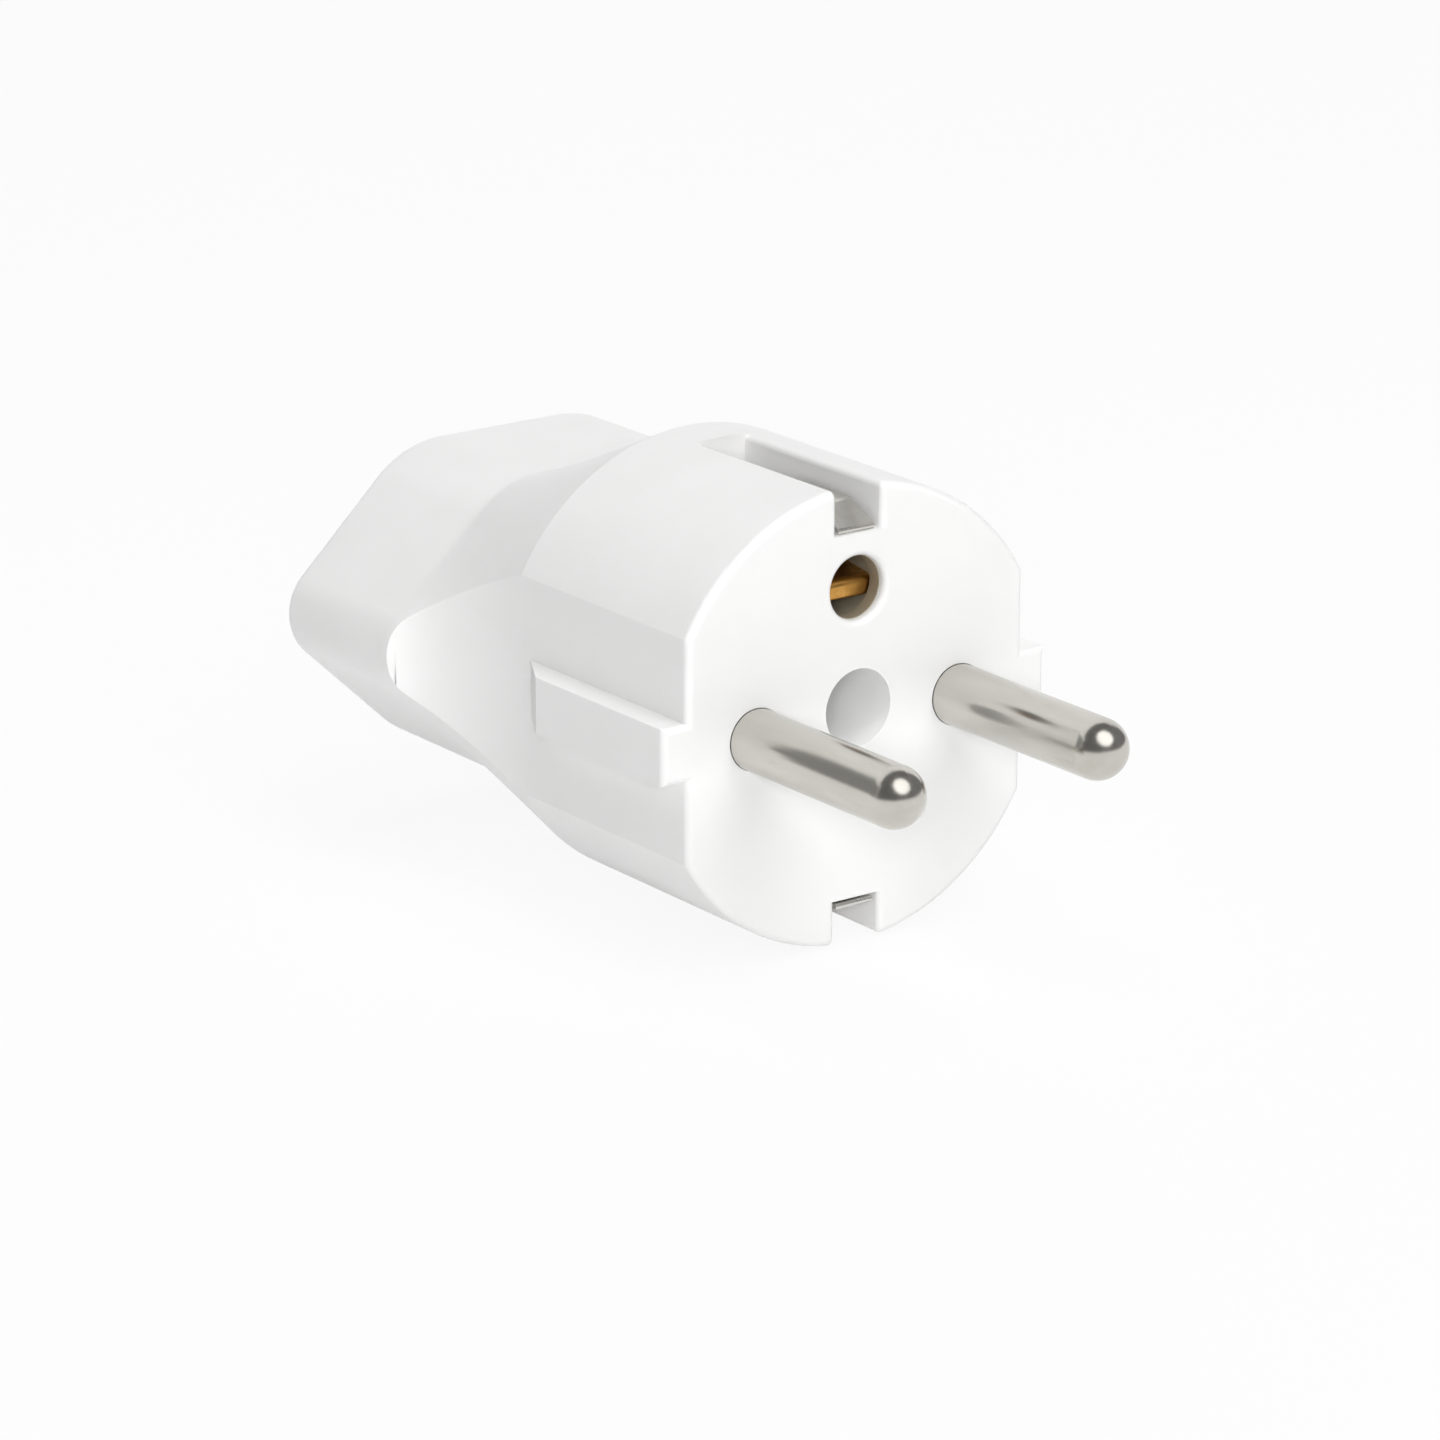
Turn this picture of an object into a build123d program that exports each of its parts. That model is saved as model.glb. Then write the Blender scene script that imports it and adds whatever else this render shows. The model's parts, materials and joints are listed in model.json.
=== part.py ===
"""Two-pin earthed plug adapter with a hexagonal three-pin socket at the rear.

Millimetres. The plug's face is the plane y = 0, the pins point to -Y, the socket opens to +Y and Z is up.
The origin is the middle of the face, halfway between the two pins.
"""

from math import atan2, cos, degrees, pi, radians, sin, tan
import os

from build123d import *

# Plug pins
pin_pitch = 19.0
pin_radius = 2.4
pin_reach = 19.0
pin_root_radius = 2.2
pin_root_clearance = 0.05
pin_ring_gap = 0.05
pin_ring_depth = 0.3
pin_collar_radius = 3.4
pin_collar_length = 1.6
pin_tail_radius = 1.6

# Round plug body with its side flats
plug_radius = 18.05
flat_half = 15.8
plug_depth = 21.5
plug_wall = 2.0
face_thickness = 5.0
face_rounding = 0.6
boss_end = 12.0
boss_wall = 1.9

# Guide ribs on the flats
rib_reach = 18.0
rib_half = 2.25
rib_setback = 1.1
rib_ramp = 3.9

# Earth notches at the top and the bottom
notch_half = 2.1
notch_floor = 14.3
notch_length = 17.2
notch_wall = 1.7
notch_rounding = 0.5

# Earth strap, a bent strip with a sprung bow in each notch
strap_thickness = 0.5
strap_half = 1.7
strap_slot_gap = 0.8
strap_tip = 0.6
upper_tip_lift = 0.0
lower_tip_lift = 0.4
bow_start = 3.4
bow_end = 9.5
bow_rise = 1.3
bow_foot = 13.0
strap_bend = 1.0
web_depth = 16.2
web_eye_wall = 2.4

# Hole for the socket's own earth pin
earth_height = 10.0
earth_radius = 2.45
earth_lip = 0.8
earth_lip_clearance = 0.05
earth_lip_rounding = 0.5
sleeve_wall = 0.55
sleeve_relief = 0.25
sleeve_guide = 1.1
sleeve_clearance = 0.05
tongue_thickness = 0.4
tongue_front = 2.25
tongue_drop = 1.1
tongue_knee_rise = 0.0
tongue_end = 13.5
tongue_bend = 0.5

# Central screw
screw_height = 0.7
screw_radius = 1.5
screw_clearance = 0.2
screw_length = 15.0
screw_grip = 0.05
head_radius = 2.75
head_height = 2.2
head_dome = 0.6
drive_width = 0.8
drive_length = 3.4
drive_depth = 1.1
well_radius = 3.06
well_depth = 10.0

# Scooped neck between the round shoulder and the hexagon
neck_end = 33.5
neck_blend = 0.5
blend_steps = 3
scoop_depth = 5.0
housing_wall = 2.2
register_wall = 1.3
register_reach = 2.0
register_clearance = 0.1
register_inner = 4.6
register_outer = 11.4

# Hexagonal socket end
hexagon_half_width = 20.4
hexagon_half_height = 12.5
hexagon_slope = 43.6
vertex_radius = 4.35
corner_radius = 9.1
rear_depth = 48.0
rear_rounding = 0.7
socket_wall = 1.7
recess_depth = 10.0
insert_thickness = 3.0
insert_clearance = 0.15
ledge = 1.6
hollow_end = 31.5

# Socket contacts behind the three holes
socket_pitch = 19.0
socket_earth_height = -5.0
socket_hole_radius = 2.25
hole_lead_in = 0.5
contact_bore = 2.05
contact_wall = 0.6
contact_floor = 2.2
contact_slot = 0.6
contact_slot_depth = 10.0
contact_clearance = 0.05
contact_end_gap = 0.3
collar_wall = 0.8
collar_length = 4.0
insert_boss_radius = 2.8
insert_boss_clearance = 0.2
rivet_radius = 1.0
rivet_head_radius = 1.7
rivet_head_height = 0.6

# Places that follow from the sizes above
ledge_depth = rear_depth - recess_depth - insert_thickness
contact_radius = contact_bore + contact_wall
contact_end = ledge_depth - contact_end_gap
collar_end = boss_end + pin_collar_length
rib_foot = plug_depth - rib_setback
web_back = web_depth + strap_thickness
pin_places = [(-pin_pitch / 2, 0), (pin_pitch / 2, 0)]
socket_places = [(-socket_pitch / 2, 0), (socket_pitch / 2, 0)]
earth_place = (0, earth_height)
screw_place = (0, screw_height)
socket_earth_place = (0, socket_earth_height)


def across(depth):
    """Plane across the plug at this depth behind the face: local x is X and local y is Z."""
    return Plane.XZ.offset(-depth)


def along(place):
    """Plane through an axis parallel to Y: local x is the radius and local y is the depth."""
    return Plane(origin=(place[0], 0, place[1]), x_dir=(1, 0, 0), z_dir=(0, 0, 1))


def axis_at(place):
    """The axis parallel to Y through a place on the face."""
    return Axis((place[0], 0, place[1]), (0, 1, 0))


def hexagon_corner():
    """Sharp corner of the hexagon's top and its sharp side vertex, before they are rounded."""
    slope = radians(hexagon_slope)
    vertex = hexagon_half_width + vertex_radius * (1 / sin(slope) - 1)
    return vertex - hexagon_half_height / tan(slope), vertex


def hexagon_outline(inset):
    """Elongated hexagon with rounded corners, moved inwards by inset."""
    corner, vertex = hexagon_corner()
    with BuildSketch() as outline:
        with BuildLine():
            Polyline(
                (vertex, 0),
                (corner, hexagon_half_height),
                (-corner, hexagon_half_height),
                (-vertex, 0),
                (-corner, -hexagon_half_height),
                (corner, -hexagon_half_height),
                close=True,
            )
        make_face()
        tips = outline.vertices().filter_by(lambda v: abs(v.Y) < 0.001)
        fillet(tips, vertex_radius)
        sharp = outline.vertices().filter_by(lambda v: abs(abs(v.Y) - hexagon_half_height) < 0.001)
        fillet(sharp, corner_radius)
        if inset > 0:
            offset(amount=-inset, mode=Mode.REPLACE)
    return outline.sketch


def rounding_angles():
    """Directions from the axis to the ends of the hexagon's straight sides, once round."""
    corner, vertex = hexagon_corner()
    slope = radians(hexagon_slope)
    run = corner_radius * tan(slope / 2)
    tip = vertex_radius / tan(slope)
    first = atan2(tip * sin(slope), vertex - tip * cos(slope))
    second = atan2(hexagon_half_height - run * sin(slope), corner + run * cos(slope))
    third = atan2(hexagon_half_height, corner - run)
    quarter = [degrees(first), degrees(second), degrees(third)]
    upper = quarter + [180 - angle for angle in reversed(quarter)]
    return upper + [180 + angle for angle in upper]


def split_circle(radius):
    """Circle divided where the hexagon's sides end, so that the two outlines pair up in a loft."""
    angles = rounding_angles()
    turns = zip(angles, angles[1:] + [angles[0] + 360])
    arcs = [CenterArc((0, 0), radius, start, end - start) for start, end in turns]
    return make_face(arcs)


def in_turn(outline):
    """Start, middle and end of each edge of an outline, once round the axis from +X."""
    turns = []
    for edge in outline.edges():
        points = [edge @ 0, edge @ 0.5, edge @ 1]
        if points[0].cross(points[2]).Z < 0:
            points.reverse()
        turns.append(points)
    return sorted(turns, key=lambda points: atan2(points[1].Y, points[1].X) % (2 * pi))


def between(first, last, share):
    """Outline that has gone this share of the way from the first outline to the last."""
    arcs = []
    for start, end in zip(in_turn(first), in_turn(last)):
        arcs.append(ThreePointArc(*[a * (1 - share) + b * share for a, b in zip(start, end)]))
    return make_face(arcs)


outer_hexagon = hexagon_outline(0)
recess_hexagon = hexagon_outline(socket_wall)
insert_hexagon = hexagon_outline(socket_wall + insert_clearance)
hollow_hexagon = hexagon_outline(socket_wall + ledge)
shoulder_circle = split_circle(plug_radius)
hollow_circle = split_circle(plug_radius - plug_wall - register_clearance - register_wall)

# The straight flare of the neck turns into the hexagon's walls along a parabola
blend_end = neck_end + neck_blend
neck_sections = [across(plug_depth) * shoulder_circle]
for step in range(blend_steps):
    left = 2 * neck_blend * (1 - step / blend_steps)
    share = 1 - left**2 / (4 * neck_blend * (neck_end - plug_depth))
    neck_sections.append(across(blend_end - left) * between(shoulder_circle, outer_hexagon, share))
neck_sections.append(across(blend_end) * outer_hexagon)

# Front moulding: face, flats, ribs, notches and the bosses behind the face
with BuildPart() as plug_body:
    with BuildSketch(across(0)):
        Circle(plug_radius)
        Rectangle(2 * flat_half, 2 * plug_radius, mode=Mode.INTERSECT)
        Rectangle(2 * rib_reach, 2 * rib_half)
    extrude(amount=-plug_depth)
    fillet(plug_body.faces().sort_by(Axis.Y)[0].edges(), face_rounding)
    # The ribs ramp down to the flats before the shoulder
    with BuildSketch(Plane.XY.offset(-2 * rib_half)):
        with BuildLine():
            Polyline(
                (flat_half, rib_foot),
                (rib_reach, rib_foot - rib_ramp),
                (2 * rib_reach, rib_foot - rib_ramp),
                (2 * rib_reach, plug_depth),
                (flat_half, plug_depth),
                close=True,
            )
        make_face()
        mirror(about=Plane.YZ)
    extrude(amount=4 * rib_half, mode=Mode.SUBTRACT)
    with BuildSketch(across(0)):
        with Locations((0, plug_radius), (0, -plug_radius)):
            Rectangle(2 * notch_half, 2 * (plug_radius - notch_floor))
    extrude(amount=-notch_length, mode=Mode.SUBTRACT)
    # The notches' side walls are rounded at the face and at the round body
    upright = plug_body.faces().filter_by(Axis.X)
    walls = upright.filter_by(lambda face: abs(abs(face.center().X) - notch_half) < 0.001)
    rims = walls.edges().filter_by(lambda edge: abs(edge.center().Y) < 0.001)
    lengthwise = walls.edges().filter_by(Axis.Y)
    crests = lengthwise.filter_by(lambda edge: abs(edge.center().Z) > notch_floor + 0.001)
    fillet(rims + crests, notch_rounding)
    # Hollow behind the face, with a wall left round each notch
    with BuildSketch(across(face_thickness)):
        Circle(plug_radius - plug_wall)
        Rectangle(2 * (flat_half - plug_wall), 2 * plug_radius, mode=Mode.INTERSECT)
        with Locations((0, plug_radius), (0, -plug_radius)):
            Rectangle(
                2 * (notch_half + notch_wall),
                2 * (plug_radius - notch_floor + notch_wall),
                mode=Mode.SUBTRACT,
            )
    extrude(amount=-(plug_depth - face_thickness), mode=Mode.SUBTRACT)
    with BuildSketch(across(face_thickness)):
        with Locations(*pin_places):
            Circle(pin_radius + boss_wall)
        with Locations(screw_place):
            Circle(well_radius + boss_wall)
        with Locations(earth_place):
            Circle(earth_radius + sleeve_wall + 0.5 * boss_wall)
    extrude(amount=-(boss_end - face_thickness))
    with Locations(across(0)):
        with Locations(*pin_places):
            CounterBoreHole(pin_root_radius + pin_root_clearance, pin_radius + pin_ring_gap, pin_ring_depth)
        with Locations(screw_place):
            CounterBoreHole(screw_radius + screw_clearance, well_radius, well_depth)
        with Locations(earth_place):
            Hole(earth_radius + earth_lip_clearance)
    with BuildSketch(across(earth_lip)):
        with Locations(earth_place):
            Circle(earth_radius + sleeve_wall + sleeve_clearance)
    extrude(amount=-(plug_depth - earth_lip), mode=Mode.SUBTRACT)
    # The mouth of the earth-pin hole is rounded in front of its lining
    mouths = plug_body.edges().filter_by(GeomType.CIRCLE).filter_by(lambda edge: abs(edge.center().Y) < 0.001)
    earth_mouth = mouths.filter_by(lambda edge: abs(edge.radius - earth_radius - earth_lip_clearance) < 0.001)
    fillet(earth_mouth, earth_lip_rounding)
    # Slots that let the strap down through the notch floors
    with BuildSketch(across(web_depth - strap_slot_gap)):
        Rectangle(2 * notch_half, 2 * notch_floor)
    extrude(amount=-(notch_length - web_depth + strap_slot_gap), mode=Mode.SUBTRACT)
plug_body.part.label = "plug_body"

# Hollow of the neck, which follows the outside from the round shoulder to the ledge of the insert
with BuildPart() as neck_hollow:
    loft([across(plug_depth) * hollow_circle, across(hollow_end) * hollow_hexagon], ruled=True)
    with BuildSketch(across(hollow_end)):
        add(hollow_hexagon)
    extrude(amount=-(ledge_depth - hollow_end))
    with BuildSketch(across(plug_depth)):
        Rectangle(2 * (flat_half - housing_wall), 2 * plug_radius)
    extrude(amount=-(ledge_depth - plug_depth), mode=Mode.INTERSECT)

# Rear moulding: round shoulder, scooped neck and hexagonal end
with BuildPart() as socket_housing:
    loft(neck_sections, ruled=True)
    with BuildSketch(across(blend_end)):
        add(outer_hexagon)
    extrude(amount=-(rear_depth - blend_end))
    # Each side is scooped by a quarter of an ellipse, from the flat out to the hexagon's vertex
    with BuildSketch(Plane.XY.offset(-plug_radius)):
        with BuildLine():
            scoop = EllipticalCenterArc(
                (flat_half + scoop_depth, plug_depth),
                scoop_depth,
                neck_end - plug_depth,
                start_angle=90,
                arc_size=90,
            )
            Polyline(
                scoop @ 1,
                (2 * plug_radius, plug_depth),
                (2 * plug_radius, neck_end),
                scoop @ 0,
            )
        make_face()
        mirror(about=Plane.YZ)
    extrude(amount=2 * plug_radius, mode=Mode.SUBTRACT)
    fillet(socket_housing.faces().sort_by(Axis.Y)[-1].edges(), rear_rounding)
    # Recess for the plug, down to the ledge of the insert
    with BuildSketch(across(ledge_depth)):
        add(recess_hexagon)
    extrude(amount=-(rear_depth - ledge_depth), mode=Mode.SUBTRACT)
    add(neck_hollow.part, mode=Mode.SUBTRACT)
    # Curved tabs that register in the hollow of the front moulding
    with BuildSketch(across(plug_depth)):
        Circle(plug_radius - plug_wall - register_clearance)
        Circle(plug_radius - plug_wall - register_clearance - register_wall, mode=Mode.SUBTRACT)
        Rectangle(2 * register_outer, 2 * plug_radius, mode=Mode.INTERSECT)
        Rectangle(2 * register_inner, 2 * plug_radius, mode=Mode.SUBTRACT)
    extrude(amount=register_reach)
socket_housing.part.label = "socket_housing"

# Insert with the three socket holes, a collar round each contact and the boss for the screw
with BuildPart() as socket_insert:
    with BuildSketch(across(ledge_depth)):
        add(insert_hexagon)
    extrude(amount=-insert_thickness)
    with BuildSketch(across(ledge_depth - collar_length)):
        with Locations(*socket_places, socket_earth_place):
            Circle(contact_radius + contact_clearance + collar_wall)
    extrude(amount=-collar_length)
    with BuildSketch(across(boss_end)):
        with Locations(screw_place):
            Circle(insert_boss_radius)
    extrude(amount=-(ledge_depth - boss_end))
    with BuildSketch(across(ledge_depth - collar_length)):
        with Locations(*socket_places, socket_earth_place):
            Circle(contact_radius + contact_clearance)
    extrude(amount=-collar_length, mode=Mode.SUBTRACT)
    with BuildSketch(across(ledge_depth)):
        with Locations(*socket_places, socket_earth_place):
            Circle(socket_hole_radius)
    extrude(amount=-insert_thickness, mode=Mode.SUBTRACT)
    mouths = socket_insert.faces().sort_by(Axis.Y)[-1].edges().filter_by(GeomType.CIRCLE)
    chamfer([edge for edge in mouths if abs(edge.radius - socket_hole_radius) < 0.01], hole_lead_in)
    with BuildSketch(across(boss_end)):
        with Locations(screw_place):
            Circle(screw_radius + screw_grip)
    extrude(amount=-screw_length, mode=Mode.SUBTRACT)
socket_insert.part.label = "socket_insert"

# Screw with a domed head and a cross recess
with BuildPart() as housing_screw:
    head_front = well_depth - head_height
    with BuildSketch(along(screw_place)):
        with BuildLine():
            rim = head_front + head_dome
            Line((0, head_front), (0, well_depth + screw_length))
            Polyline(
                (0, well_depth + screw_length),
                (screw_radius, well_depth + screw_length),
                (screw_radius, well_depth),
                (head_radius, well_depth),
                (head_radius, rim),
            )
            shoulder = (0.6 * head_radius, head_front + 0.3 * head_dome)
            ThreePointArc((head_radius, rim), shoulder, (0, head_front))
        make_face()
    revolve(axis=axis_at(screw_place))
    with BuildSketch(across(head_front + drive_depth)):
        with Locations(screw_place):
            Rectangle(drive_length, drive_width)
            Rectangle(drive_width, drive_length)
    extrude(amount=head_height, mode=Mode.SUBTRACT)
housing_screw.part.label = "housing_screw"


def plug_pin(place):
    """Solid pin with a domed end, a collar that bears on the boss and a tail for the contact."""
    with BuildPart() as pin:
        with BuildSketch(along(place)):
            with BuildLine():
                dome = pin_radius - pin_reach
                CenterArc((0, dome), pin_radius, -90, 90)
                Polyline(
                    (pin_radius, dome),
                    (pin_radius, 0),
                    (pin_root_radius, 0),
                    (pin_root_radius, boss_end),
                    (pin_collar_radius, boss_end),
                    (pin_collar_radius, collar_end),
                    (pin_tail_radius, collar_end),
                    (pin_tail_radius, collar_end + contact_floor),
                    (0, collar_end + contact_floor),
                    (0, -pin_reach),
                )
            make_face()
        revolve(axis=axis_at(place))
    return pin.part


def socket_contact(place, start, hole_radius):
    """Slotted socket: a floor with a hole at the front, and a bore that grips the visiting pin."""
    with BuildPart() as contact:
        with BuildSketch(along(place)):
            with BuildLine():
                Polyline(
                    (hole_radius, start),
                    (contact_radius, start),
                    (contact_radius, contact_end),
                    (contact_bore, contact_end),
                    (contact_bore, start + contact_floor),
                    (hole_radius, start + contact_floor),
                    close=True,
                )
            make_face()
        revolve(axis=axis_at(place))
        with BuildSketch(across(contact_end)):
            with Locations(place):
                Rectangle(4 * contact_radius, contact_slot)
                Rectangle(contact_slot, 4 * contact_radius)
        extrude(amount=contact_slot_depth, mode=Mode.SUBTRACT)
    return contact.part


line_pin = plug_pin(pin_places[0])
line_pin.label = "line_pin"
neutral_pin = plug_pin(pin_places[1])
neutral_pin.label = "neutral_pin"
line_contact = socket_contact(socket_places[0], collar_end, pin_tail_radius)
line_contact.label = "line_contact"
neutral_contact = socket_contact(socket_places[1], collar_end, pin_tail_radius)
neutral_contact.label = "neutral_contact"
earth_contact = socket_contact(socket_earth_place, web_back, rivet_radius)
earth_contact.label = "earth_contact"

# Strap: a web across the body, turned forward along each notch and bowed to press on the socket's clips
with BuildPart() as earth_strap:
    low = notch_floor + strap_thickness / 2
    middle = web_depth + strap_thickness / 2
    for side, tip_lift in ((1, upper_tip_lift), (-1, lower_tip_lift)):
        with BuildSketch(Plane.YZ):
            with BuildLine():
                path = FilletPolyline(
                    (middle, 0),
                    (middle, side * low),
                    (bow_foot, side * low),
                    (bow_end, side * (low + bow_rise)),
                    (bow_start, side * (low + bow_rise)),
                    (strap_tip, side * (low + tip_lift)),
                    radius=strap_bend,
                )
                offset(path, amount=strap_thickness / 2, kind=Kind.TANGENT)
            make_face()
        extrude(amount=strap_half, both=True)
    with BuildSketch(across(web_depth)):
        with Locations(screw_place):
            Circle(insert_boss_radius + insert_boss_clearance + web_eye_wall)
    extrude(amount=-strap_thickness)
    with Locations(across(0)):
        with Locations(screw_place):
            Hole(insert_boss_radius + insert_boss_clearance)
        with Locations(socket_earth_place):
            Hole(rivet_radius)
earth_strap.part.label = "earth_strap"

# Rivet that holds the earth contact on the strap
with BuildPart() as earth_rivet:
    with BuildSketch(along(socket_earth_place)):
        with BuildLine():
            Polyline(
                (0, web_depth - rivet_head_height),
                (rivet_head_radius, web_depth - rivet_head_height),
                (rivet_head_radius, web_depth),
                (rivet_radius, web_depth),
                (rivet_radius, web_back + contact_floor),
                (rivet_head_radius, web_back + contact_floor),
                (rivet_head_radius, web_back + contact_floor + rivet_head_height),
                (0, web_back + contact_floor + rivet_head_height),
                close=True,
            )
        make_face()
    revolve(axis=axis_at(socket_earth_place))
earth_rivet.part.label = "earth_rivet"

# Lining of the earth-pin hole: a guide ring at the mouth and a wider tube back to the strap
with BuildPart() as earth_sleeve:
    with BuildSketch(along(earth_place)):
        with BuildLine():
            outer = earth_radius + sleeve_wall
            Polyline(
                (earth_radius, earth_lip),
                (outer, earth_lip),
                (outer, web_depth),
                (earth_radius + sleeve_relief, web_depth),
                (earth_radius + sleeve_relief, earth_lip + sleeve_guide),
                (earth_radius, earth_lip + sleeve_guide),
                close=True,
            )
        make_face()
    revolve(axis=axis_at(earth_place))
earth_sleeve.part.label = "earth_sleeve"

# Spring leaf inside the lining: it runs forward from the upper wall and turns down behind the guide ring
with BuildPart() as earth_tongue:
    leaf_radius = earth_radius + sleeve_relief
    with BuildSketch(Plane.YZ):
        with BuildLine():
            top = earth_height + leaf_radius - 2 * tongue_thickness
            leaf = FilletPolyline(
                (tongue_front, earth_height - tongue_drop),
                (tongue_front, earth_height + tongue_knee_rise),
                (tongue_end, top),
                radius=tongue_bend,
            )
            offset(leaf, amount=tongue_thickness / 2, kind=Kind.TANGENT)
        make_face()
    extrude(amount=leaf_radius, both=True)
    with BuildSketch(across(0)):
        with Locations(earth_place):
            Circle(leaf_radius)
    extrude(amount=-web_depth, mode=Mode.INTERSECT)
earth_tongue.part.label = "earth_tongue"

os.makedirs("parts", exist_ok=True)
for piece in (
    plug_body.part,
    socket_housing.part,
    socket_insert.part,
    housing_screw.part,
    line_pin,
    neutral_pin,
    line_contact,
    neutral_contact,
    earth_contact,
    earth_strap.part,
    earth_rivet.part,
    earth_sleeve.part,
    earth_tongue.part,
):
    export_step(piece, f"parts/{piece.label}.step")
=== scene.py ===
"""Finishes, floor, lamps and camera for the white plug adapter with a three-pin socket at its rear.

Metres, in the frame of the solids: the plug's face is y = 0, its pins point to -Y and Z is up.
"""

import json
from math import radians

import bpy
from mathutils import Matrix, Vector

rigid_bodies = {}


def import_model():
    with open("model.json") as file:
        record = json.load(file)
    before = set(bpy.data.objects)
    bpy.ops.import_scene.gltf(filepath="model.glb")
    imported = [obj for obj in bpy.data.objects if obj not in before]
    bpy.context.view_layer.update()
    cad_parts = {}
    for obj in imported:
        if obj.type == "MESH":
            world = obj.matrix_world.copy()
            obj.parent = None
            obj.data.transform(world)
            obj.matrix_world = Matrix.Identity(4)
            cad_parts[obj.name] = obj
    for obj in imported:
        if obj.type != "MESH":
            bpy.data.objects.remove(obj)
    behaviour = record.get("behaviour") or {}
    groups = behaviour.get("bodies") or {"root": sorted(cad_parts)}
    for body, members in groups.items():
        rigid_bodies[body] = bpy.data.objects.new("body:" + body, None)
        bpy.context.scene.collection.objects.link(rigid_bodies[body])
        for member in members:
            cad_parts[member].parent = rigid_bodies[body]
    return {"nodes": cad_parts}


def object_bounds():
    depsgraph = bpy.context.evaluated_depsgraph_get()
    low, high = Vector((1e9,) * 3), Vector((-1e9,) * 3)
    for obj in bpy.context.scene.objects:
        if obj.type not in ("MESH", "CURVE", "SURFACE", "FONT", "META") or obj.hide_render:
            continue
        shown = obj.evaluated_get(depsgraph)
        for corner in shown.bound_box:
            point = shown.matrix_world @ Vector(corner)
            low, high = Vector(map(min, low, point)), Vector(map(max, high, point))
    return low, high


# Whatever the start file holds goes first, so that only the adapter is measured
bpy.ops.object.select_all(action="SELECT")
bpy.ops.object.delete()

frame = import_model()
solid_low, solid_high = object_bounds()
bpy.ops.object.select_all(action="DESELECT")

# Sizes in metres
well_height = 0.0007
well_radius = 0.0031
merge_gap = 0.000002
moulded_easing = 0.0001
floor_gap = 0.00002
floor_size = 4

# Levels of the studio
floor_white = 0.9
surroundings = 0.13

# The photograph's view
eye_place = (-0.259725, -0.337057, 0.135225)
eye_right = (0.8067, -0.5909, 0.0)
eye_back = (-0.5630, -0.7687, 0.3035)
eye_lens = 148.65


# Building blocks of a finish


def start_finish(name):
    """New node material with one shader joined to its output."""
    finish = bpy.data.materials.new(name)
    finish.use_nodes = True
    tree = finish.node_tree
    tree.nodes.clear()
    output = tree.nodes.new("ShaderNodeOutputMaterial")
    shader = tree.nodes.new("ShaderNodeBsdfPrincipled")
    tree.links.new(shader.outputs["BSDF"], output.inputs["Surface"])
    return finish, tree, shader


def grain(tree, size, detail=2.0, stretch=(1, 1, 1), centre=(0, 0, 0)):
    """Soft noise whose grains are about this size in metres, drawn out along an axis by stretch."""
    place = tree.nodes.new("ShaderNodeTexCoord")
    turn = tree.nodes.new("ShaderNodeMapping")
    turn.inputs["Location"].default_value = centre
    turn.inputs["Scale"].default_value = [1 / s for s in stretch]
    noise = tree.nodes.new("ShaderNodeTexNoise")
    noise.inputs["Scale"].default_value = 1 / size
    noise.inputs["Detail"].default_value = detail
    tree.links.new(place.outputs["Object"], turn.inputs["Vector"])
    tree.links.new(turn.outputs["Vector"], noise.inputs["Vector"])
    return noise.outputs["Fac"]


def between(tree, value, low, high, start=0.3, end=0.7):
    """The value spread from low to high."""
    spread = tree.nodes.new("ShaderNodeMapRange")
    spread.inputs["From Min"].default_value = start
    spread.inputs["From Max"].default_value = end
    spread.inputs["To Min"].default_value = low
    spread.inputs["To Max"].default_value = high
    tree.links.new(value, spread.inputs["Value"])
    return spread.outputs["Result"]


def tint(tree, share, first, second):
    """Colour that goes from the first to the second with the share."""
    blend = tree.nodes.new("ShaderNodeMix")
    blend.data_type = "RGBA"
    for socket, colour in (("A_Color", first), ("B_Color", second)):
        target = next(i for i in blend.inputs if i.identifier == socket)
        if isinstance(colour, bpy.types.NodeSocket):
            tree.links.new(colour, target)
        else:
            target.default_value = (*colour, 1)
    tree.links.new(share, blend.inputs["Factor"])
    return next(o for o in blend.outputs if o.identifier == "Result_Color")


def combine(tree, first, second, operation="ADD"):
    """Two values added, multiplied or otherwise joined."""
    joined = tree.nodes.new("ShaderNodeMath")
    joined.operation = operation
    for socket, value in zip(joined.inputs, (first, second)):
        if isinstance(value, bpy.types.NodeSocket):
            tree.links.new(value, socket)
        else:
            socket.default_value = value
    return joined.outputs["Value"]


def relief(tree, height, depth, under=None):
    """Surface relief of this depth in metres, on top of another one."""
    bump = tree.nodes.new("ShaderNodeBump")
    bump.inputs["Distance"].default_value = depth
    tree.links.new(height, bump.inputs["Height"])
    if under is not None:
        tree.links.new(under, bump.inputs["Normal"])
    return bump.outputs["Normal"]


def worn_edge(tree, radius):
    """Near one within this distance of an edge, and nought on the open surface."""
    rounded = tree.nodes.new("ShaderNodeBevel")
    rounded.samples = 2
    rounded.inputs["Radius"].default_value = radius
    flat = tree.nodes.new("ShaderNodeNewGeometry")
    facing = tree.nodes.new("ShaderNodeVectorMath")
    facing.operation = "DOT_PRODUCT"
    tree.links.new(rounded.outputs["Normal"], facing.inputs[0])
    tree.links.new(flat.outputs["Normal"], facing.inputs[1])
    return between(tree, facing.outputs["Value"], 1, 0, start=0.75, end=0.995)


def crevice(tree, reach):
    """Near one in corners and hollows closer than this reach, and nought on the open surface."""
    hollow = tree.nodes.new("ShaderNodeAmbientOcclusion")
    hollow.samples = 2
    hollow.only_local = True
    hollow.inputs["Distance"].default_value = reach
    return between(tree, hollow.outputs["AO"], 1, 0, start=0.2, end=0.95)


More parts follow.
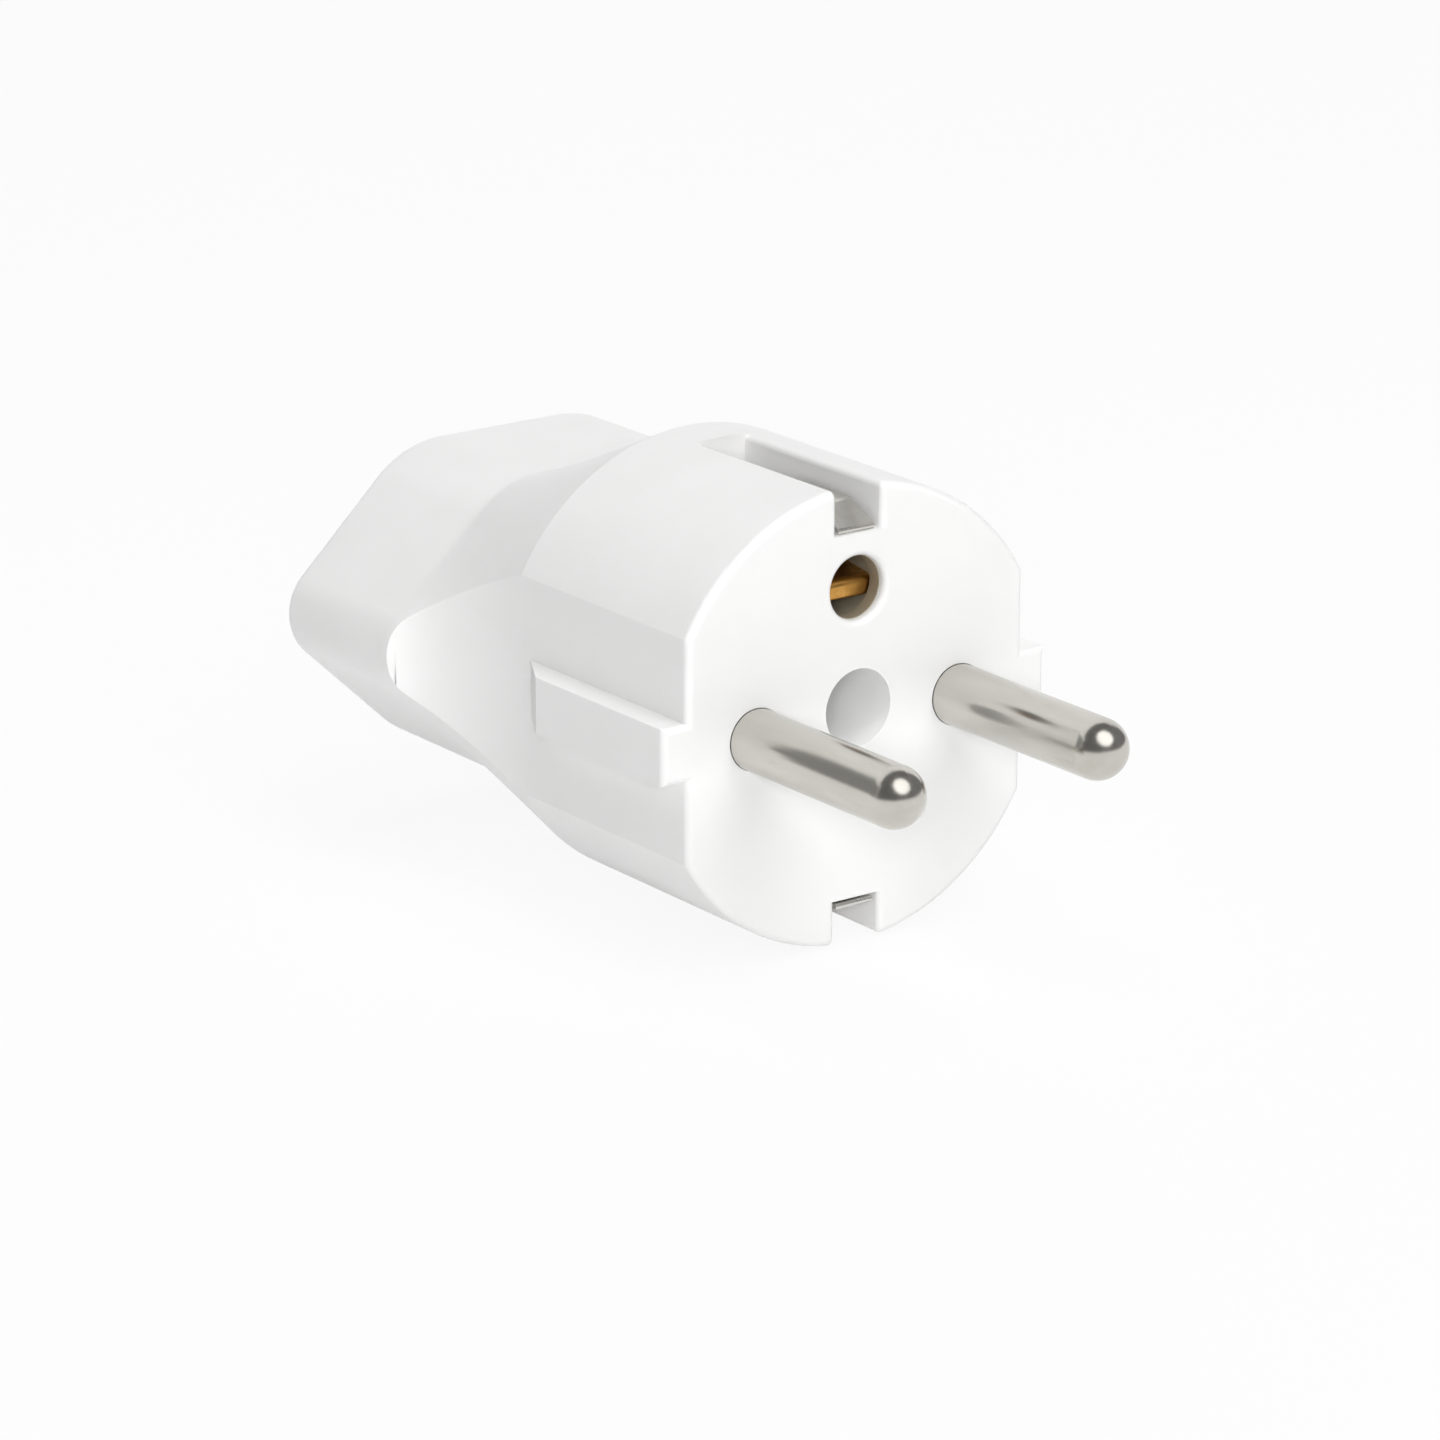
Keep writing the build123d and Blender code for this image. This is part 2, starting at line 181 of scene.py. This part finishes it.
def inside_hole(tree, axis_x, axis_z, radius):
    """One inside a round hole along Y, and nought outside it."""
    place = tree.nodes.new("ShaderNodeTexCoord")
    centre = tree.nodes.new("ShaderNodeMapping")
    centre.inputs["Location"].default_value = (-axis_x, 0, -axis_z)
    centre.inputs["Scale"].default_value = (1, 0, 1)
    reach = tree.nodes.new("ShaderNodeVectorMath")
    reach.operation = "LENGTH"
    tree.links.new(place.outputs["Object"], centre.inputs["Vector"])
    tree.links.new(centre.outputs["Vector"], reach.inputs[0])
    return between(tree, reach.outputs["Value"], 1, 0, start=radius, end=1.03 * radius)


# Finishes of the adapter's own pieces


def white_moulding(name, seed, with_lit_well=False):
    """Satin white plastic from a lightly textured mould, greyed by painted shade in its corners and hollows
    and painted brighter in the screw well.
    """
    finish, tree, shader = start_finish(name)
    clouds = grain(tree, 0.009, detail=3, centre=(seed, 0, seed))
    skin = grain(tree, 0.00021, detail=3, centre=(0, seed, 0))
    flow = grain(tree, 0.004, detail=1, stretch=(1, 3, 1), centre=(seed, seed, 0))
    white = tint(tree, between(tree, clouds, 0, 1), (0.912, 0.912, 0.906), (0.936, 0.936, 0.932))
    # Painted shade: the white turns grey in corners and hollows, where less light reaches.
    corner_shaded_white = tint(tree, combine(tree, crevice(tree, 0.0016), 0.1, "MULTIPLY"), white, (0.78, 0.775, 0.76))
    if with_lit_well:
        # The screw well is painted a brighter white than the rest: painted light standing in for the light
        # that reaches inside the well.
        well = inside_hole(tree, 0, well_height, well_radius)
        corner_shaded_white = tint(tree, well, corner_shaded_white, (0.972, 0.972, 0.968))
    tree.links.new(corner_shaded_white, shader.inputs["Base Color"])
    satin = between(tree, flow, 0.36, 0.46)
    polished = combine(tree, worn_edge(tree, 0.00025), 0.08, "MULTIPLY")
    tree.links.new(combine(tree, satin, polished, "SUBTRACT"), shader.inputs["Roughness"])
    ripple = relief(tree, flow, 0.00003)
    tree.links.new(relief(tree, skin, 0.000006, under=ripple), shader.inputs["Normal"])
    shader.inputs["IOR"].default_value = 1.49
    return finish


def nickel_pin(name, seed):
    """Nickel plate on a drawn pin, a little smeared, with fine drawing lines along its length."""
    finish, tree, shader = start_finish(name)
    smear = grain(tree, 0.0022, detail=3, stretch=(1, 5, 1), centre=(seed, 0, 0))
    lines = grain(tree, 0.00014, detail=2, stretch=(1, 60, 1), centre=(0, seed, 0))
    colour = tint(tree, between(tree, smear, 0, 1), (0.64, 0.625, 0.585), (0.57, 0.55, 0.5))
    tree.links.new(colour, shader.inputs["Base Color"])
    polish = combine(tree, between(tree, smear, 0.13, 0.21), between(tree, lines, 0.02, 0.07))
    worn = combine(tree, worn_edge(tree, 0.0002), 0.06, "MULTIPLY")
    tree.links.new(combine(tree, polish, worn), shader.inputs["Roughness"])
    tree.links.new(relief(tree, lines, 0.0000012), shader.inputs["Normal"])
    shader.inputs["Metallic"].default_value = 1
    return finish


def nickel_strip(name):
    """Rolled nickel-plated strip: duller than the pins, with rolling lines along its length."""
    finish, tree, shader = start_finish(name)
    stain = grain(tree, 0.0016, detail=3)
    lines = grain(tree, 0.00012, detail=2, stretch=(1, 40, 40))
    colour = tint(tree, between(tree, stain, 0, 1), (0.74, 0.725, 0.69), (0.65, 0.63, 0.585))
    bare = tint(tree, combine(tree, worn_edge(tree, 0.00015), 0.5, "MULTIPLY"), colour, (0.84, 0.825, 0.79))
    tree.links.new(bare, shader.inputs["Base Color"])
    dull = combine(tree, between(tree, stain, 0.24, 0.32), between(tree, lines, 0, 0.04))
    tree.links.new(dull, shader.inputs["Roughness"])
    tree.links.new(relief(tree, lines, 0.0000003), shader.inputs["Normal"])
    shader.inputs["Metallic"].default_value = 1
    return finish


def grey_brown_sleeve(name):
    """Drawn nickel sleeve coloured grey brown: a painted reflection of the brass and the dark hole that the
    sleeve mirrors.
    """
    finish, tree, shader = start_finish(name)
    stain = grain(tree, 0.0014, detail=4)
    lines = grain(tree, 0.0001, detail=2, stretch=(40, 1, 40))
    # Painted reflection: this grey brown stands in for the brass and the dark hole that the sleeve mirrors.
    colour = tint(tree, between(tree, stain, 0, 1), (0.46, 0.41, 0.31), (0.39, 0.335, 0.235))
    tree.links.new(colour, shader.inputs["Base Color"])
    dull = combine(tree, between(tree, stain, 0.42, 0.56), between(tree, lines, 0, 0.1))
    tree.links.new(dull, shader.inputs["Roughness"])
    tree.links.new(relief(tree, lines, 0.000002), shader.inputs["Normal"])
    shader.inputs["Metallic"].default_value = 0.35
    return finish


def spring_brass(name):
    """Sheet brass with a little brown tarnish in its corners."""
    finish, tree, shader = start_finish(name)
    tarnish = grain(tree, 0.0012, detail=4)
    lines = grain(tree, 0.00012, detail=2, stretch=(1, 30, 1))
    colour = tint(tree, between(tree, tarnish, 0, 1), (0.68, 0.37, 0.1), (0.55, 0.28, 0.065))
    brown = tint(tree, combine(tree, crevice(tree, 0.001), 0.5, "MULTIPLY"), colour, (0.3, 0.17, 0.06))
    tree.links.new(brown, shader.inputs["Base Color"])
    sheen = combine(tree, between(tree, tarnish, 0.2, 0.36), between(tree, lines, 0, 0.08))
    tree.links.new(sheen, shader.inputs["Roughness"])
    tree.links.new(relief(tree, lines, 0.0000015), shader.inputs["Normal"])
    shader.inputs["Metallic"].default_value = 1
    return finish


def screw_steel(name):
    """Zinc-plated screw steel, darkened by painted shade in the cross recess and bright on its edges."""
    finish, tree, shader = start_finish(name)
    zinc = grain(tree, 0.0005, detail=4)
    colour = tint(tree, between(tree, zinc, 0, 1), (0.46, 0.47, 0.48), (0.36, 0.37, 0.38))
    # Painted shade: the steel turns near black in the cross recess and its corners.
    recess_painted_shade = tint(tree, combine(tree, crevice(tree, 0.0009), 0.7, "MULTIPLY"), colour, (0.12, 0.12, 0.12))
    bright = tint(tree, combine(tree, worn_edge(tree, 0.00015), 0.6, "MULTIPLY"), recess_painted_shade, (0.68, 0.68, 0.67))
    tree.links.new(bright, shader.inputs["Base Color"])
    tree.links.new(between(tree, zinc, 0.26, 0.42), shader.inputs["Roughness"])
    tree.links.new(relief(tree, zinc, 0.000004), shader.inputs["Normal"])
    shader.inputs["Metallic"].default_value = 1
    return finish


finishes = {
    "plug_body": white_moulding("plug_body_white", 0.0, with_lit_well=True),
    "socket_housing": white_moulding("socket_housing_white", 0.31),
    "socket_insert": white_moulding("socket_insert_white", 0.57),
    "housing_screw": screw_steel("housing_screw_zinc"),
    "line_pin": nickel_pin("line_pin_nickel", 0.0),
    "neutral_pin": nickel_pin("neutral_pin_nickel", 0.43),
    "earth_strap": nickel_strip("earth_strap_nickel"),
    "earth_sleeve": grey_brown_sleeve("earth_sleeve_nickel"),
    "earth_tongue": spring_brass("earth_tongue_brass"),
    "earth_rivet": spring_brass("earth_rivet_brass"),
}
contact_brass = spring_brass("contact_brass")
for name in ("line_contact", "neutral_contact", "earth_contact"):
    finishes[name] = contact_brass
for name, finish in finishes.items():
    for place in frame["nodes"][name].material_slots:
        place.material = finish


# Live modifiers


def join_facets(piece):
    """Close the seams between a solid's faces before anything else shapes or shades it."""
    join = piece.modifiers.new("join", "WELD")
    join.merge_threshold = merge_gap


def even_shading(piece, mode):
    """Shade a piece evenly across its facets."""
    even = piece.modifiers.new("even", "WEIGHTED_NORMAL")
    even.mode = mode
    even.keep_sharp = False


# The mouldings' edges are eased as a mould leaves them
for name in ("plug_body", "socket_housing", "socket_insert"):
    moulding = frame["nodes"][name]
    join_facets(moulding)
    plain = moulding.modifiers.new("plain", "DECIMATE")
    plain.decimate_type = "DISSOLVE"
    plain.angle_limit = radians(0.5)
    eased = moulding.modifiers.new("eased", "BEVEL")
    eased.width = moulded_easing
    eased.segments = 3
    eased.limit_method = "ANGLE"
    eased.angle_limit = radians(25)
    eased.harden_normals = False
    even_shading(moulding, "FACE_AREA")

# The pins' domes shade evenly over their tips
for name in ("line_pin", "neutral_pin"):
    pin = frame["nodes"][name]
    join_facets(pin)
    corners = pin.modifiers.new("corners", "EDGE_SPLIT")
    corners.split_angle = radians(30)
    even_shading(pin, "CORNER_ANGLE")


# Floor, world and lamps


def seen_as_white(tree):
    """One as the eye or a mirroring surface sees it, and nought for the light it sheds on the adapter."""
    seen = tree.nodes.new("ShaderNodeLightPath")
    shown = combine(tree, seen.outputs["Is Camera Ray"], seen.outputs["Is Glossy Ray"], "MAXIMUM")
    return combine(tree, shown, seen.outputs["Is Transmission Ray"], "MAXIMUM")


def white_floor():
    """Pale floor under the adapter: nearly white to the eye, with the adapter's soft shadow."""
    bpy.ops.mesh.primitive_plane_add(size=floor_size, location=(0, 0, solid_low.z - floor_gap))
    floor = bpy.context.object
    floor.name = "floor"
    finish, tree, shader = start_finish("floor_paper")
    fibre = grain(tree, 0.0008, detail=3)
    tree.links.new(tint(tree, fibre, (0.9, 0.9, 0.9), (0.92, 0.92, 0.92)), shader.inputs["Base Color"])
    shader.inputs["Roughness"].default_value = 0.9
    shader.inputs["Specular IOR Level"].default_value = 0.1
    glow = tree.nodes.new("ShaderNodeEmission")
    glow.inputs["Strength"].default_value = 1
    share = combine(tree, seen_as_white(tree), floor_white, "MULTIPLY")
    both = tree.nodes.new("ShaderNodeMixShader")
    tree.links.new(share, both.inputs["Fac"])
    tree.links.new(shader.outputs["BSDF"], both.inputs[1])
    tree.links.new(glow.outputs["Emission"], both.inputs[2])
    output = next(n for n in tree.nodes if n.type == "OUTPUT_MATERIAL")
    tree.links.new(both.outputs["Shader"], output.inputs["Surface"])
    floor.data.materials.append(finish)


def studio_world(level):
    """White surroundings for the eye and for the metal, and a softer level for the light they give."""
    world = bpy.data.worlds.new("studio")
    bpy.context.scene.world = world
    world.use_nodes = True
    tree = world.node_tree
    tree.nodes.clear()
    soft = tree.nodes.new("ShaderNodeBackground")
    soft.inputs["Color"].default_value = (level, level, level, 1)
    white = tree.nodes.new("ShaderNodeBackground")
    white.inputs["Color"].default_value = (1, 1, 1, 1)
    both = tree.nodes.new("ShaderNodeMixShader")
    tree.links.new(seen_as_white(tree), both.inputs["Fac"])
    tree.links.new(soft.outputs["Background"], both.inputs[1])
    tree.links.new(white.outputs["Background"], both.inputs[2])
    output = tree.nodes.new("ShaderNodeOutputWorld")
    tree.links.new(both.outputs["Shader"], output.inputs["Surface"])


def soft_lamp(name, place, aim, size, power, mirrored=True):
    """Round soft lamp that faces a point of the adapter; a fill lamp isn't mirrored by the metal."""
    lamp = bpy.data.lights.new(name, "AREA")
    lamp.shape = "DISK"
    lamp.size = size
    lamp.energy = power
    holder = bpy.data.objects.new(name, lamp)
    holder.visible_glossy = mirrored
    bpy.context.scene.collection.objects.link(holder)
    holder.location = place
    holder.rotation_euler = (Vector(aim) - Vector(place)).to_track_quat("-Z", "Y").to_euler()


def dark_reflection_sheet(name, place, aim, width, height, tone):
    """Faintly glowing sheet that only mirroring rays see: a painted dark reflection of the studio in the
    metal and the plastic's sheen.
    """
    facing = (Vector(aim) - Vector(place)).to_track_quat("Z", "Y").to_euler()
    bpy.ops.mesh.primitive_plane_add(size=1, location=place, rotation=facing)
    glow_sheet = bpy.context.object
    glow_sheet.name = name
    glow_sheet.scale = (width, height, 1)
    glow_sheet.visible_camera = False
    glow_sheet.visible_diffuse = False
    glow_sheet.visible_shadow = False
    glow_sheet.visible_transmission = False
    finish, tree, shader = start_finish(name + "_paint")
    shader.inputs["Base Color"].default_value = (0, 0, 0, 1)
    shader.inputs["Specular IOR Level"].default_value = 0
    patches = grain(tree, 0.3)
    darker, lighter = [0.8 * tone] * 3, [1.2 * tone] * 3
    tree.links.new(tint(tree, patches, darker, lighter), shader.inputs["Emission Color"])
    shader.inputs["Emission Strength"].default_value = 1
    finish.cycles.emission_sampling = "NONE"
    glow_sheet.data.materials.append(finish)


white_floor()
studio_world(surroundings)
soft_lamp("key_lamp", (0.03, -0.6, 0.7), (0, 0, 0), 0.95, 3.7)
soft_lamp("eye_side_fill", (-0.62, -0.846, 0.334), (0, 0, 0), 0.3, 4.7, mirrored=False)
soft_lamp("overhead_fill", (0, -0.1, 1.0), (0, 0, 0), 0.8, 4.25, mirrored=False)
soft_lamp("rear_fill", (0.6, 0.95, 0.1), (0, 0.02, 0), 0.22, 4.2, mirrored=False)
# Painted reflections: faintly glowing sheets seen only by mirroring rays, standing for the dark studio
# around the adapter.
dark_reflection_sheet("left_back_dark_sheet", (-0.85, 0.85, 0.5), (0, 0, 0.5), 1.5, 0.9, 0.3)
dark_reflection_sheet("left_front_dark_sheet", (-1.1, -0.5, 0.68), (0, 0, 0.68), 1.7, 1.26, 0.16)
dark_reflection_sheet("right_front_dark_sheet", (1.1, -0.4, 0.8), (0, 0, 0.8), 1.5, 1.5, 0.22)
dark_reflection_sheet("front_dark_sheet", (0, -1.35, 0.78), (0, 0, 0.78), 3.2, 1.36, 0.16)
dark_reflection_sheet("upper_dark_sheet", (-0.1, -0.45, 1.45), (-0.1, -0.45, 0), 3.0, 2.0, 0.16)

# Camera at the photograph's place
eye = bpy.data.cameras.new("camera")
eye.lens = eye_lens
eye.sensor_width = 36
eye.clip_start = 0.01
eye.clip_end = 20
camera = bpy.data.objects.new("camera", eye)
bpy.context.scene.collection.objects.link(camera)
back = Vector(eye_back).normalized()
up = back.cross(Vector(eye_right)).normalized()
right = up.cross(back)
turn = Matrix((right, up, back)).transposed()
camera.matrix_world = Matrix.Translation(eye_place) @ turn.to_4x4()
bpy.context.scene.camera = camera
bpy.context.scene.view_settings.view_transform = "Standard"

bpy.context.view_layer.update()
